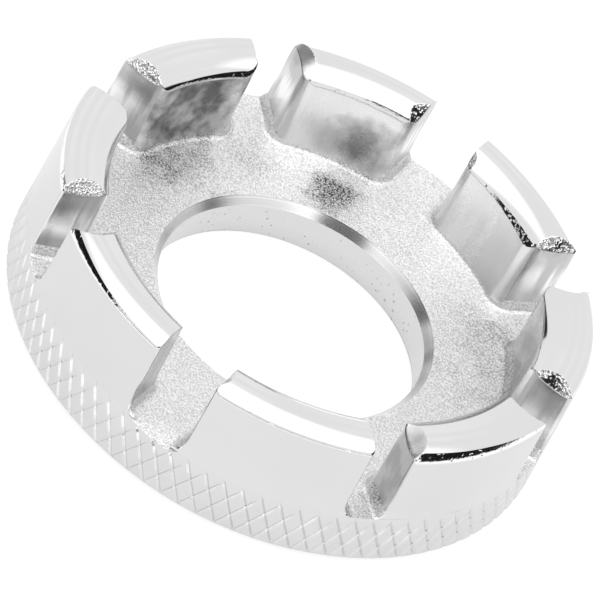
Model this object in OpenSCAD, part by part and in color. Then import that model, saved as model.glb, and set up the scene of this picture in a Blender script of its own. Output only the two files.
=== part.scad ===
// Round spoke wrench: a ring with eight upstanding lugs and a diamond-knurled rim.
// Each gap between two lugs is a slot that fits one size of spoke nipple.
// Back face on z = 0, the ring's axis on +Z, slot 1 towards -Y, the others counterclockwise.
// The tool is one casting; the nodes are its named regions, which meet face to face.

/* [Body] */
// Largest diameter, over the knurled rim
overall_d = 55; // [52:0.5:58]
// Total height, from the back face to the crest of the lugs
overall_h = 15; // [14:0.1:16.5]
// Draft of the outer wall, in degrees
outer_draft = 2; // [0:0.25:3]
// Chamfer round the back face
back_chamfer = 0.8; // [0.5:0.05:1.1]

/* [Web] */
// Thickness of the web at the edge of the bore
web_t = 5.1; // [4.6:0.1:5.6]
// Slope of the web's upper face, which rises outwards, in degrees
web_slope = 4.4; // [0.5:0.1:6]

/* [Bore] */
// Diameter of the machined bore
bore_d = 27.3; // [22:0.1:30]
// Width of the chamfer at the upper edge of the bore
bore_chamfer_w = 0.68; // [0.2:0.02:1]
// Height of the same chamfer
bore_chamfer_h = 0.8; // [0.2:0.05:1.2]
// Height of the as-cast flare below the machined wall
flare_h = 2; // [0.8:0.1:2.4]
// How much the flare widens the bore's radius at the back face
flare_w = 0.5; // [0.1:0.05:0.8]

/* [Slots] */
// Width of slot 1, at the front
slot_1 = 6.3; // [3.2:0.1:7]
// Width of slot 2, the next one counterclockwise seen from above
slot_2 = 4.1; // [3.2:0.1:7]
// Width of slot 3
slot_3 = 5; // [3.2:0.1:7]
// Width of slot 4
slot_4 = 4.9; // [3.2:0.1:7]
// Width of slot 5
slot_5 = 6.4; // [3.2:0.1:7]
// Width of slot 6
slot_6 = 4.9; // [3.2:0.1:7]
// Width of slot 7
slot_7 = 6.1; // [3.2:0.1:7]
// Width of slot 8
slot_8 = 4.3; // [3.2:0.1:7]

/* [Lugs] */
// Radial thickness of a lug at its outer top edge
lug_t = 5; // [4.4:0.1:5.4]
// Radius of the domed crown across a lug
crown_r = 3.5; // [3.2:0.1:4.5]
// Distance from the outer wall in to the crest of the crown
crown_in = 2.2; // [1.9:0.05:2.5]
// Radius of the rounded corners between the inner wall and the slot walls
corner_r = 1.5; // [0.8:0.1:1.9]
// Depth of the scooped lead-in at a slot's top edge, below the crest
lead_in_h = 1.2; // [0.6:0.05:1.5]
// Angle of the lead-in to the slot wall, in degrees
lead_in_angle = 45; // [35:1:55]
// Radius of the round cutter that leaves the scoop
lead_in_r = 6.4; // [5:0.1:9]

/* [Plinth] */
// Height of the step at the foot of each lug
plinth_h = 0.85; // [0.4:0.05:1.2]
// How far the step stands out from the lug at the web
plinth_w = 0.6; // [0.4:0.05:0.8]
// Width of the ledge left on top of the step
ledge_w = 0.1; // [0.05:0.05:0.35]

/* [Knurl] */
// Radial thickness of the knurled rim
rim_t = 2.5; // [1.8:0.1:3]
// Number of grooves of each hand round the rim
knurl_n = 92; // [76:1:96]
// Angle of the grooves to the axis, in degrees
knurl_angle = 30; // [26:1:34]
// Turn of the whole knurl about the axis, in degrees
knurl_turn = -0.8; // [-2:0.1:2]
// Width of a groove at the surface
groove_w = 0.4; // [0.25:0.01:0.45]
// Depth of a groove
groove_d = 0.2; // [0.1:0.01:0.25]
// How far the left-hand grooves run on above the last crossings
runout = 0.12; // [0.1:0.01:0.2]
// Plain band between the ends of the grooves and the slot floors
knurl_gap = 0.1; // [0.05:0.01:0.4]

/* [Hidden] */
$fn = 96;

slots = [slot_1, slot_2, slot_3, slot_4, slot_5, slot_6, slot_7, slot_8];
slot_step = 360 / len(slots);
first_slot = -90;
// Room that a cutter or a blank takes beyond what it cuts
clear = 3;
// How far a round reaches past the walls that it blends, so that it crosses them cleanly
bite = 0.02;

wall_slope = tan(outer_draft);
web_rise = tan(web_slope);
bore_r = bore_d / 2;
web_edge_r = bore_r + bore_chamfer_w;
rim_r = overall_d / 2;
rim_in_r = rim_r - rim_t;
reach = rim_r + clear;

// Radius of the outer wall at height z
function wall_r(z) = rim_r - wall_slope * (z - back_chamfer);
// Height of the web's upper face at radius r
function web_z(r) = web_t + web_rise * (r - web_edge_r);
// Height at which the outer wall meets the web's upper face
shoulder_z = web_z(wall_r(0)) / (1 + web_rise * wall_slope);

crest_r = wall_r(overall_h) - crown_in;
crown_z = overall_h - crown_r;
lug_in_r = wall_r(overall_h) - lug_t;

// Direction of a slot's middle plane, and half its width
function slot_dir(i) = first_slot + (i - 1) * slot_step;
function slot_half(i) = slots[(i - 1) % len(slots)] / 2;

// Centre of the round between a lug's inner wall and the wall of slot i
function corner_centre(i) =
    let (y = slot_half(i) + corner_r)
    [sqrt(pow(lug_in_r + corner_r, 2) - pow(y, 2)), y];

// Places its children on the web's slope along +X, with x measured along that slope
module on_web() {
    translate([web_edge_r, 0, web_t])
        rotate([0, -web_slope, 0])
            translate([-web_edge_r, 0, 0])
                children();
}

// Cross-section of a lug from the web to its domed crown
module lug_section() {
    intersection() {
        polygon([
            [lug_in_r, web_z(lug_in_r)],
            [wall_r(shoulder_z), shoulder_z],
            [wall_r(overall_h), overall_h],
            [lug_in_r, overall_h]
        ]);
        union() {
            translate([crest_r, crown_z]) circle(crown_r);
            translate([crest_r - crown_r, 0]) square([2 * crown_r, crown_z]);
        }
    }
}

// Cross-section of a plinth, with its sloped side towards the bore
module plinth_section() {
    foot_r = lug_in_r - plinth_w * cos(web_slope);
    ledge_r = lug_in_r - ledge_w * cos(web_slope);
    polygon([
        [foot_r, web_z(foot_r)],
        [wall_r(shoulder_z), shoulder_z],
        [wall_r(shoulder_z + plinth_h), shoulder_z + plinth_h],
        [ledge_r - plinth_h * sin(web_slope), web_z(ledge_r) + plinth_h * cos(web_slope)]
    ]);
}

// Straight gap of slot i
module slot_gap(i) {
    rotate([0, 0, slot_dir(i)])
        translate([0, -slot_half(i), 0])
            cube([reach, 2 * slot_half(i), overall_h + clear]);
}

// Gap of slot i between two plinths, narrower towards the web
module slot_trough(i) {
    flare = (plinth_w - ledge_w) / plinth_h;
    low = slot_half(i) - plinth_w - flare * clear;
    high = slot_half(i) - plinth_w + flare * clear;
    rotate([0, 0, slot_dir(i)])
        on_web()
            rotate([90, 0, 90])
                linear_extrude(reach * 2)
                    polygon([[-low, -clear], [low, -clear], [high, clear], [-high, clear]]);
}

// Waste between the round and the sharp corner at slot i, seen from above
module corner_waste(centre, side) {
    polygon([[centre[0], side * centre[1]], [centre[0], 0], [0, 0]]);
}

// Cuts the upright round of a lug's body on one side of slot i
module corner_cut(i, side) {
    centre = corner_centre(i);
    rotate([0, 0, slot_dir(i)])
        difference() {
            linear_extrude(overall_h + clear) corner_waste(centre, side);
            translate([centre[0], side * centre[1], -clear])
                cylinder(r = corner_r + bite, h = overall_h + 3 * clear);
        }
}

// Cuts the same round on the plinth, sloped like its sides
module plinth_corner_cut(i, side) {
    flat = corner_centre(i);
    centre = [web_edge_r + (flat[0] - web_edge_r) / cos(web_slope), flat[1]];
    flare = (plinth_w - ledge_w) / plinth_h;
    foot = corner_r + plinth_w + bite;
    rotate([0, 0, slot_dir(i)])
        on_web()
            difference() {
                translate([0, 0, -clear / 2])
                    linear_extrude(clear * 1.5) corner_waste(centre, side);
                translate([centre[0], side * centre[1], -clear])
                    cylinder(r1 = foot + flare * clear, r2 = foot - flare * clear, h = 2 * clear);
            }
}

// Round cutter for the lead-in on one side of slot i
module lead_in(i, side) {
    rotate([0, 0, slot_dir(i)])
        translate([crest_r, side * slot_half(i), overall_h - lead_in_h])
            rotate([-side * lead_in_angle, 0, 0])
                translate([0, -side * lead_in_r, -clear])
                    cylinder(r = lead_in_r, h = 3 * clear);
}

// Bar with a domed crown between slots i and i + 1
module lug_body(i) {
    difference() {
        rotate([0, 0, slot_dir(i)]) rotate_extrude(angle = slot_step) lug_section();
        slot_gap(i);
        slot_gap(i + 1);
        corner_cut(i, 1);
        corner_cut(i + 1, -1);
    }
}

// Step at the foot of the same bar, on its inner side and at both ends
module plinth(i) {
    difference() {
        rotate([0, 0, slot_dir(i)]) rotate_extrude(angle = slot_step) plinth_section();
        slot_trough(i);
        slot_trough(i + 1);
        plinth_corner_cut(i, 1);
        plinth_corner_cut(i + 1, -1);
    }
}

// One lug, scooped at both ends so that a nipple finds its way in from above
module lug(i) {
    difference() {
        union() {
            lug_body(i);
            plinth(i);
        }
        lead_in(i, 1);
        lead_in(i + 1, -1);
    }
}

// Ring from the bore to the rim, with the machined bore and its chamfer
module core_ring() {
    color("gainsboro")
    rotate_extrude()
        polygon([
            [bore_r + flare_w, 0],
            [rim_in_r, 0],
            [rim_in_r, web_z(rim_in_r)],
            [web_edge_r, web_t],
            [bore_r, web_t - bore_chamfer_h],
            [bore_r, flare_h]
        ]);
}

/* Knurl.
   The grooves of each hand cross in rows. Round a crossing, a point is placed by a and b,
   in pitches along the right-hand and the left-hand grooves: it lies (a + b) / 2 pitches
   round from the crossing and (a - b) rows above it. */
pitch = PI * overall_d / knurl_n;
knurl_top = shoulder_z - knurl_gap - runout - groove_w / 2 / sin(knurl_angle);
rows = max(1, round((knurl_top - back_chamfer) * 2 * tan(knurl_angle) / pitch));
row_h = (knurl_top - back_chamfer) / rows;
// Half the width of a groove, in pitches along the grooves of the other hand
edge = groove_w * sqrt(pow(pitch / 2, 2) + pow(row_h, 2)) / (2 * pitch * row_h);
// Height of the grooves' ends above the last crossings
end_h = shoulder_z - knurl_gap - knurl_top;
// The rim's inside is many-sided, so its corners lie outside the core ring's round wall
rim_bore_r = rim_in_r / cos(180 / knurl_n);

function round_point(u, r, z) =
    let (a = knurl_turn + u * 360 / knurl_n)
    [r * cos(a), r * sin(a), z];
// Point on the outer wall, u pitches round, at height z, sunk by dip
function wall_point(u, z, dip) = round_point(u, wall_r(z) - dip, z);
function row_z(k) = back_chamfer + k * row_h;

// The nine points of a crossing: its middle, its corners on the surface, and the bottoms
// of the four grooves that leave it. Each has its place a and b, and how deep it lies.
crossing_spots = [
    ["middle", 0, 0, groove_d],
    ["left", -edge, -edge, 0],
    ["right", edge, edge, 0],
    ["top", edge, -edge, 0],
    ["bottom", -edge, edge, 0],
    ["up_left", 0, -edge, groove_d],
    ["up_right", edge, 0, groove_d],
    ["down_left", -edge, 0, groove_d],
    ["down_right", 0, edge, groove_d]
];
crossing_points = [
    for (k = [0 : rows], i = [0 : knurl_n - 1], q = crossing_spots)
        wall_point(i + k / 2 + (q[1] + q[2]) / 2, row_z(k) + (q[1] - q[2]) * row_h, q[3])
];

// Rings with one point a pitch. Each has its shift in pitches, its radius and its height.
end_u = rows / 2 - end_h / row_h / 2;
ring_spots = [
    ["groove_end", end_u, wall_r(knurl_top + end_h), knurl_top + end_h],
    ["shoulder_out", end_u, wall_r(shoulder_z), shoulder_z],
    ["shoulder_in", end_u, rim_bore_r, web_z(rim_bore_r)],
    ["notch", 0, rim_r - groove_d, back_chamfer - groove_d],
    ["back_out", 0, rim_r - back_chamfer, 0],
    ["back_in", end_u, rim_bore_r, 0]
];
ring_points = [
    for (q = ring_spots, i = [0 : knurl_n - 1]) round_point(i + q[1], q[2], q[3])
];

function around(i) = (i + knurl_n) % knurl_n;
function spot(name, spots) = search([name], spots)[0];
function crossing(k, i, name) =
    (k * knurl_n + around(i)) * len(crossing_spots) + spot(name, crossing_spots);
function ring(name, i) =
    len(crossing_points) + spot(name, ring_spots) * knurl_n + around(i);
function quad(a, b, c, d) = [[a, b, c], [a, c, d]];

// Upper half of a crossing, with both its grooves open
function upper_half(k, i) = let (m = crossing(k, i, "middle")) [
    [m, crossing(k, i, "left"), crossing(k, i, "up_left")],
    [m, crossing(k, i, "up_left"), crossing(k, i, "top")],
    [m, crossing(k, i, "top"), crossing(k, i, "up_right")],
    [m, crossing(k, i, "up_right"), crossing(k, i, "right")]
];
function lower_half(k, i) = let (m = crossing(k, i, "middle")) [
    [m, crossing(k, i, "down_left"), crossing(k, i, "left")],
    [m, crossing(k, i, "bottom"), crossing(k, i, "down_left")],
    [m, crossing(k, i, "down_right"), crossing(k, i, "bottom")],
    [m, crossing(k, i, "right"), crossing(k, i, "down_right")]
];

// Walls of the two grooves that rise from a crossing, and the two half lands beside them
function groove_walls(k, i) = concat(
    quad(crossing(k, i, "left"), crossing(k + 1, i - 1, "bottom"),
         crossing(k + 1, i - 1, "down_right"), crossing(k, i, "up_left")),
    quad(crossing(k, i, "up_left"), crossing(k + 1, i - 1, "down_right"),
         crossing(k + 1, i - 1, "right"), crossing(k, i, "top")),
    quad(crossing(k, i, "top"), crossing(k + 1, i, "left"),
         crossing(k + 1, i, "down_left"), crossing(k, i, "up_right")),
    quad(crossing(k, i, "up_right"), crossing(k + 1, i, "down_left"),
         crossing(k + 1, i, "bottom"), crossing(k, i, "right")),
    [[crossing(k, i, "top"), crossing(k + 1, i - 1, "right"), crossing(k + 1, i, "left")],
     [crossing(k, i, "right"), crossing(k + 1, i, "bottom"), crossing(k, i + 1, "left")]]
);

// Top of the knurl: right-hand grooves stop at the last crossings, left-hand ones run out
function knurl_end(i) = let (k = rows, m = crossing(k, i, "middle")) concat(
    [[m, crossing(k, i, "left"), crossing(k, i, "up_left")],
     [m, crossing(k, i, "up_left"), crossing(k, i, "top")],
     [m, crossing(k, i, "top"), crossing(k, i, "right")],
     [crossing(k, i, "left"), ring("groove_end", i), crossing(k, i, "up_left")],
     [crossing(k, i, "up_left"), ring("groove_end", i), crossing(k, i, "top")],
     [ring("groove_end", i), ring("groove_end", i + 1), crossing(k, i, "top")],
     [crossing(k, i, "top"), ring("groove_end", i + 1), crossing(k, i, "right")],
     [crossing(k, i, "right"), ring("groove_end", i + 1), crossing(k, i + 1, "left")]],
    quad(ring("groove_end", i), ring("shoulder_out", i),
         ring("shoulder_out", i + 1), ring("groove_end", i + 1))
);

// Chamfer below the first row, notched by its grooves
function chamfer_faces(i) = [
    [crossing(0, i, "left"), crossing(0, i, "middle"), ring("notch", i)],
    [crossing(0, i, "middle"), crossing(0, i, "right"), ring("notch", i)],
    [crossing(0, i, "left"), ring("notch", i), ring("back_out", i)],
    [ring("notch", i), crossing(0, i, "right"), ring("back_out", i)],
    [crossing(0, i, "right"), crossing(0, i + 1, "left"), ring("back_out", i + 1)],
    [crossing(0, i, "right"), ring("back_out", i + 1), ring("back_out", i)]
];

// Plain faces: shoulder, inside and back
function plain_faces(i) = concat(
    quad(ring("shoulder_out", i), ring("shoulder_in", i),
         ring("shoulder_in", i + 1), ring("shoulder_out", i + 1)),
    quad(ring("shoulder_in", i), ring("back_in", i), ring("back_in", i + 1), ring("shoulder_in", i + 1)),
    quad(ring("back_in", i), ring("back_out", i), ring("back_out", i + 1), ring("back_in", i + 1))
);

// Rim band with a diamond knurl, cut as V grooves of both hands
module knurled_rim() {
    faces = [
        for (i = [0 : knurl_n - 1]) each concat(
            [for (k = [0 : rows - 1]) each concat(
                upper_half(k, i), lower_half(k + 1, i), groove_walls(k, i))],
            knurl_end(i),
            chamfer_faces(i),
            plain_faces(i)
        )
    ];
    color("silver")
    polyhedron(concat(crossing_points, ring_points), faces, convexity = 6);
}

module lug_1() { color("lightgray") lug(1); }
module lug_2() { color("lightgray") lug(2); }
module lug_3() { color("lightgray") lug(3); }
module lug_4() { color("lightgray") lug(4); }
module lug_5() { color("lightgray") lug(5); }
module lug_6() { color("lightgray") lug(6); }
module lug_7() { color("lightgray") lug(7); }
module lug_8() { color("lightgray") lug(8); }

core_ring();
knurled_rim();
lug_1();
lug_2();
lug_3();
lug_4();
lug_5();
lug_6();
lug_7();
lug_8();
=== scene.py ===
import math
from dataclasses import dataclass

import bmesh
import bpy
from mathutils import Matrix, Vector, noise


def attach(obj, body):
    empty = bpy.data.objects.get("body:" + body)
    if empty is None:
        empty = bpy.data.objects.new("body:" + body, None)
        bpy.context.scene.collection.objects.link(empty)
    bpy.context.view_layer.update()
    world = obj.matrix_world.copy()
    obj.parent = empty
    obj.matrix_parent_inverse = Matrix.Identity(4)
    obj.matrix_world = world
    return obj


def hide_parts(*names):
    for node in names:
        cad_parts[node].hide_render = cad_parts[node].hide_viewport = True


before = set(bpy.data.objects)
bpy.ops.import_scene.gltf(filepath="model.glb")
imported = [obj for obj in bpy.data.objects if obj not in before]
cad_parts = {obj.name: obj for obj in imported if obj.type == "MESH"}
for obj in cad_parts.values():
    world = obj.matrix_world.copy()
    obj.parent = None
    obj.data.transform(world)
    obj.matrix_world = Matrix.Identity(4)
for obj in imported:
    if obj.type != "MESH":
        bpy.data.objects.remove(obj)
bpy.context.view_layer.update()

# Sizes in millimetres, as in the CAD model
MM = 0.001
OVERALL_D = 55.0
OVERALL_H = 15.0
OUTER_DRAFT = math.radians(2)
BACK_CHAMFER = 0.8
WEB_T = 5.1
WEB_SLOPE = math.radians(4.4)
BORE_R = 13.65
BORE_CHAMFER_W = 0.68
BORE_CHAMFER_H = 0.8
FLARE_H = 2.0
FLARE_W = 0.5
SLOTS = [6.3, 4.1, 5.0, 4.9, 6.4, 4.9, 6.1, 4.3]
FIRST_SLOT = -90
SLOT_STEP = 45
LUG_T = 5.0
CROWN_R = 3.5
CROWN_IN = 2.2
CORNER_R = 1.5
RIM_T = 2.5
KNURL_N = 92
GROOVE_W = 0.4
GROOVE_D = 0.2

RIM_R = OVERALL_D / 2
RIM_IN_R = RIM_R - RIM_T
WEB_EDGE_R = BORE_R + BORE_CHAMFER_W


def wall_r(z):
    """Radius of the outer wall at height z."""
    return RIM_R - math.tan(OUTER_DRAFT) * (z - BACK_CHAMFER)


def web_z(r):
    """Height of the web's upper face at radius r."""
    return WEB_T + math.tan(WEB_SLOPE) * (r - WEB_EDGE_R)


SHOULDER_Z = web_z(wall_r(0)) / (1 + math.tan(WEB_SLOPE) * math.tan(OUTER_DRAFT))
CREST_R = wall_r(OVERALL_H) - CROWN_IN
CROWN_Z = OVERALL_H - CROWN_R
LUG_IN_R = wall_r(OVERALL_H) - LUG_T

# Points closer together than this are made one, in millimetres
WELD = 1e-5


def slot_angle(i):
    """Direction of slot i, in radians; slot 9 is slot 1 again."""
    return math.radians(FIRST_SLOT + SLOT_STEP * (i - 1))


def polar(r, angle, *z):
    """Point at a radius and a direction, in the plan or at a height."""
    return Vector((r * math.cos(angle), r * math.sin(angle), *z))


def blend(a, b, share):
    """Value that lies between a and b."""
    return a + (b - a) * share


def mm(*lengths):
    """Lengths given in millimetres, in metres."""
    return [length * MM for length in lengths]


# Meshes and pieces

def new_object(name, data):
    """Adds an object to the scene."""
    thing = bpy.data.objects.new(name, data)
    bpy.context.scene.collection.objects.link(thing)
    return thing


def mesh_object(bm, name, materials):
    """Turns a bmesh into an object of the scene."""
    mesh = bpy.data.meshes.new(name)
    bm.to_mesh(mesh)
    bm.free()
    for material in materials:
        mesh.materials.append(material)
    return new_object(name, mesh)


def finish_piece(bm, name, node, materials, sharp):
    """Turns a bmesh in millimetres into a finished piece that stands for a CAD node.

    An edge stays sharp where its faces meet at that many degrees or more."""
    bmesh.ops.remove_doubles(bm, verts=bm.verts, dist=WELD)
    bmesh.ops.recalc_face_normals(bm, faces=bm.faces)
    for face in bm.faces:
        face.smooth = True
    for edge in bm.edges:
        edge.smooth = not edge.is_manifold or edge.calc_face_angle() < math.radians(sharp)
    bmesh.ops.scale(bm, vec=(MM, MM, MM), verts=bm.verts)
    piece = mesh_object(bm, name, materials)
    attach(piece, "root")
    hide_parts(node)


def stage_piece(bm, name, material):
    """Turns a bmesh in metres into a piece of the studio."""
    piece = mesh_object(bm, name, [material])
    return piece


def extrude_ring(bm, loop):
    """Extrudes a closed loop of edges; returns the new faces, the new points and the new loop."""
    new = bmesh.ops.extrude_edge_only(bm, edges=loop)["geom"]
    faces = [part for part in new if isinstance(part, bmesh.types.BMFace)]
    verts = {part for part in new if isinstance(part, bmesh.types.BMVert)}
    edges = [part for part in new if isinstance(part, bmesh.types.BMEdge) and set(part.verts) <= verts]
    return faces, verts, edges


# Node trees

def grey(shade):
    """Colour of a grey."""
    return (shade, shade, shade, 1)


class Signal:
    """Output of a node; sums, differences and products of signals add the nodes that work them out."""

    def __init__(self, tree, socket):
        self.tree = tree
        self.socket = socket

    def __add__(self, other):
        return self.tree.maths("ADD", self, other)

    def __sub__(self, other):
        return self.tree.maths("SUBTRACT", self, other)

    def __rsub__(self, other):
        return self.tree.maths("SUBTRACT", other, self)

    def __mul__(self, other):
        return self.tree.maths("MULTIPLY", self, other)

    __rmul__ = __mul__


class Tree:
    """Node tree in the making. Its subclasses set place, the object coordinates that it works with."""

    def __init__(self, tree):
        self.nodes = tree.nodes
        self.links = tree.links

    def wire(self, node, *operands, **inputs):
        """Links or sets a node's inputs, in order or by name with _ for a space; returns its outputs."""
        sockets = list(zip(node.inputs, operands))
        sockets += [(node.inputs[name.replace("_", " ")], value) for name, value in inputs.items()]
        for socket, value in sockets:
            if isinstance(value, Signal):
                self.links.new(value.socket, socket)
            else:
                socket.default_value = value
        return {socket.name: Signal(self, socket) for socket in node.outputs if socket.enabled}

    def add(self, kind, *operands, **inputs):
        """Adds a node and wires it; returns its outputs by name."""
        return self.wire(self.nodes.new(kind), *operands, **inputs)

    def maths(self, operation, *operands, kind="ShaderNodeMath"):
        """Works out a value from others."""
        node = self.nodes.new(kind)
        node.operation = operation
        return self.wire(node, *operands)["Value"]

    def vector_maths(self, operation, *operands):
        """Works out a value from vectors."""
        return self.maths(operation, *operands, kind="ShaderNodeVectorMath")

    def most(self, first, second):
        """The greater of two values."""
        return self.maths("MAXIMUM", first, second)

    def ramp(self, value, given, wanted=(0.0, 1.0)):
        """Takes a value from one range straight to another, and no further than its ends."""
        return self.add("ShaderNodeMapRange", Value=value, From_Min=given[0], From_Max=given[1],
                        To_Min=wanted[0], To_Max=wanted[1])["Result"]

    def greys(self, value, first, last):
        """Grey between two shades: the first where the value is 0, the last where it is 1."""
        mix = self.nodes.new("ShaderNodeMix")
        mix.data_type = "RGBA"
        return self.wire(mix, Factor=value, A=grey(first), B=grey(last))["Result"]

    def axis(self, name):
        """The place's X, Y or Z."""
        return self.add("ShaderNodeSeparateXYZ", Vector=self.place)[name]

    def along(self, direction):
        """How far the place lies towards a direction."""
        return self.vector_maths("DOT_PRODUCT", self.place, direction)

    def stretched(self, *scale):
        """The place with X, Y and Z scaled."""
        return self.add("ShaderNodeMapping", Vector=self.place, Scale=scale)["Vector"]

    def radius(self):
        """The place's distance from the axis."""
        return self.vector_maths("LENGTH", self.stretched(1, 1, 0))

    def noise(self, at=None, **values):
        """Noise at the place, or at another vector."""
        return self.add("ShaderNodeTexNoise", Vector=at or self.place, **values)["Fac"]

    def cells(self, scale):
        """Voronoi cells at the place."""
        return self.add("ShaderNodeTexVoronoi", Vector=self.place, Scale=scale)


class Group(Tree):
    """Shared effect: a node group that reads a place and puts out masks, shades and heights."""

    def __init__(self, name):
        self.group = bpy.data.node_groups.new(name, "ShaderNodeTree")
        self.group.interface.new_socket(name="Vector", in_out="INPUT", socket_type="NodeSocketVector")
        super().__init__(self.group)
        self.place = self.add("NodeGroupInput")["Vector"]

    def finish(self, **outputs):
        """Puts out the signals by their names and returns the group."""
        for name in outputs:
            self.group.interface.new_socket(name=name, in_out="OUTPUT", socket_type="NodeSocketFloat")
        self.add("NodeGroupOutput", **outputs)
        return self.group


class Material(Tree):
    """Material that works with object coordinates."""

    def __init__(self, name):
        self.material = bpy.data.materials.new(name)
        self.material.use_nodes = True
        super().__init__(self.material.node_tree)
        self.nodes.clear()
        self.place = self.add("ShaderNodeTexCoord")["Object"]

    def use(self, group):
        """A shared effect's outputs at the place, by name."""
        node = self.nodes.new("ShaderNodeGroup")
        node.node_tree = group
        return self.wire(node, Vector=self.place)

    def glow(self, strength):
        """White light that comes from the surface itself."""
        return self.add("ShaderNodeEmission", Color=grey(1), Strength=strength)["Emission"]

    def finish(self, surface):
        """Makes a shader the material's surface and returns the material."""
        self.add("ShaderNodeOutputMaterial", Surface=surface)
        return self.material

    def plated(self, colour, roughness, height, strength, depth):
        """Finishes as metal, with a relief that is depth millimetres deep."""
        relief = self.add("ShaderNodeBump", Strength=strength, Distance=depth * MM, Height=height)
        shader = self.add("ShaderNodeBsdfPrincipled", Metallic=1.0, Base_Color=colour, Roughness=roughness,
                          Normal=relief["Normal"])
        return self.finish(shader["BSDF"])


# Shared effects

# Spots of painted shade: dark patches painted where the metal shows shade or dark reflections, in
# millimetres: x, y, z, radius and strength
PAINTED_SHADE_SPOTS = (
    (-20.8, 7.9, 11.0, 8.7, 1.0),
    (-6.1, 21.0, 9.0, 3.8, 0.72),
    (20.3, 8.4, 10.2, 8.0, 0.41),
    (-19.7, 4.2, 5.6, 4.5, 0.28),
    (-3.2, -26.6, 8.4, 1.9, 0.8),
    (-5.6, 16.4, 5.6, 2.9, 0.9),
    (14.5, 13.3, 5.6, 3.8, 0.32),
    (-14.3, 12.2, 5.6, 4.0, 0.17),
    (24.6, 3.2, 14.2, 1.9, 1.0),
    (15.4, 19.5, 14.2, 1.9, 1.0),
    (-3.8, 22.9, 14.0, 1.7, 1.0),
    (19.1, -16.2, 10.5, 4.4, 1.0),
    (-15.9, 19.3, 14.6, 3.4, 0.9),
    (19.1, -16.2, 14.6, 2.6, 0.45),
)
# shares of a spot's radius: how much of it has the full strength, and how far its border wanders
SHADE_SPOT_CORE = 0.35
SHADE_SPOT_WANDER = (-0.35, 0.35)


def painted_shade_group():
    """How much painted shade a place has, from 0 to 1, blotchy at the borders."""
    group = Group("painted_shade")
    wobble = group.ramp(group.noise(Scale=330, Detail=3), (0.3, 0.7), SHADE_SPOT_WANDER)
    amount = 0.0
    for x, y, z, radius, strength in PAINTED_SHADE_SPOTS:
        away = group.vector_maths("DISTANCE", group.place, mm(x, y, z))
        reach = away + wobble * (radius * MM)
        spot = group.ramp(reach, mm(SHADE_SPOT_CORE * radius, radius), (strength, 0.0))
        amount = group.most(spot, amount)
    blotches = group.ramp(group.noise(Scale=420, Detail=2), (0.3, 0.55), (0.5, 1.0))
    return group.finish(Amount=amount * blotches)


def cast_grain_group():
    """Leathery grain of an as-cast surface under its plating: close ripples with pits between them."""
    group = Group("cast_grain")
    ripple = group.noise(Scale=5600, Detail=2.5, Roughness=0.6, Distortion=0.6)
    coarse = group.noise(Scale=900, Detail=2)
    return group.finish(Height=ripple + 0.6 * coarse, Speckle=group.ramp(ripple, (0.45, 0.57)))


def crystal_group():
    """Sparkle of a broken surface: small facets, some of them turned away from the light."""
    group = Group("crystal")
    facets = group.cells(5200)
    bent = group.noise(Scale=5200, Detail=2)
    tilt = group.add("ShaderNodeSeparateColor", Color=facets["Color"])["Red"]
    return group.finish(Height=facets["Distance"] + 0.7 * bent, Facet=0.6 * tilt + 0.5 * bent)


def lathe_lines_group():
    """Fine rings round the axis, as a lathe or a round grinding cup leaves them."""
    group = Group("lathe_lines")
    outwards = group.add("ShaderNodeCombineXYZ", X=group.radius())["Vector"]
    height = group.noise(outwards, Scale=9000, Detail=2)
    shade = group.noise(outwards, Scale=3200, Detail=2, Roughness=0.6)
    streak = group.noise(outwards, Scale=1100, Detail=2)
    broken = group.noise(Scale=90, Detail=2)
    return group.finish(Height=height, Shade=group.ramp(shade, (0.35, 0.65)),
                        Streak=group.ramp(streak, (0.4, 0.62)) * group.ramp(broken, (0.4, 0.6)))


def brush_lines_group():
    """Upright draw marks left on walls by the tool that freed them."""
    group = Group("brush_lines")
    long_marks = group.noise(group.stretched(1, 1, 0.15), Scale=1500, Detail=2)
    waves = group.noise(group.stretched(1, 1, 0.25), Scale=420, Detail=1)
    grain = group.noise(Scale=4200, Detail=2)
    return group.finish(Height=0.5 * long_marks + 1.6 * waves + 0.35 * grain,
                        Shade=group.ramp(0.3 * grain + 0.7 * waves, (0.36, 0.64)))


def fine_wear_group():
    """Faint cloudiness and rare pin holes of old plating."""
    group = Group("fine_wear")
    haze = group.noise(Scale=240, Detail=4, Roughness=0.6)
    spots = group.cells(420)["Distance"]
    return group.finish(Haze=group.ramp(haze, (0.35, 0.7)), Pits=group.ramp(spots, (0.04, 0.1), (1.0, 0.0)))


# painted shade: the dark patches that the plating materials paint in
painted_shade = painted_shade_group()
cast_grain = cast_grain_group()
crystal = crystal_group()
lathe_lines = lathe_lines_group()
brush_lines = brush_lines_group()
fine_wear = fine_wear_group()


# Materials

# Greys of the plating: its plain grey, and the dark grey towards which painted shade, the casting's speckle
# and draw marks take it
PLAIN_GREY, SPECKLE_AND_SHADE_GREY = 0.95, 0.08
# Painted highlights on the end walls: bright spots painted in, in millimetres: the height of their middle,
# how far above and below it they are full and end, and how far from the axis they are faint and full
HIGHLIGHT_Z = 10.0
HIGHLIGHT_H = (0.5, 2.2)
HIGHLIGHT_R = (22.0, 24.5)
HIGHLIGHT_FAINT = 0.25
# the side of the ring that has the painted highlights, and how far towards it they begin and are full
HIGHLIGHT_SIDE = (-0.5, 0.87, 0.0)
HIGHLIGHT_FROM = (-14, -9)
# Painted shade on the end walls: the side where they are painted darker round the highlights, how far
# towards it that begins and is full, and how much darker it makes them
SHADED_SIDE = (-0.71, -0.71, 0.0)
SHADED_FROM = (12, 20)
SHADED_BY = 0.5
# How far up the bore's wall the casting's pits reach, and where the pressed part of the knurled band
# begins to fade towards the shoulder, in millimetres
PITS_UP_TO = 4.5
PRESSED_UP_TO = 4.4


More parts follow.
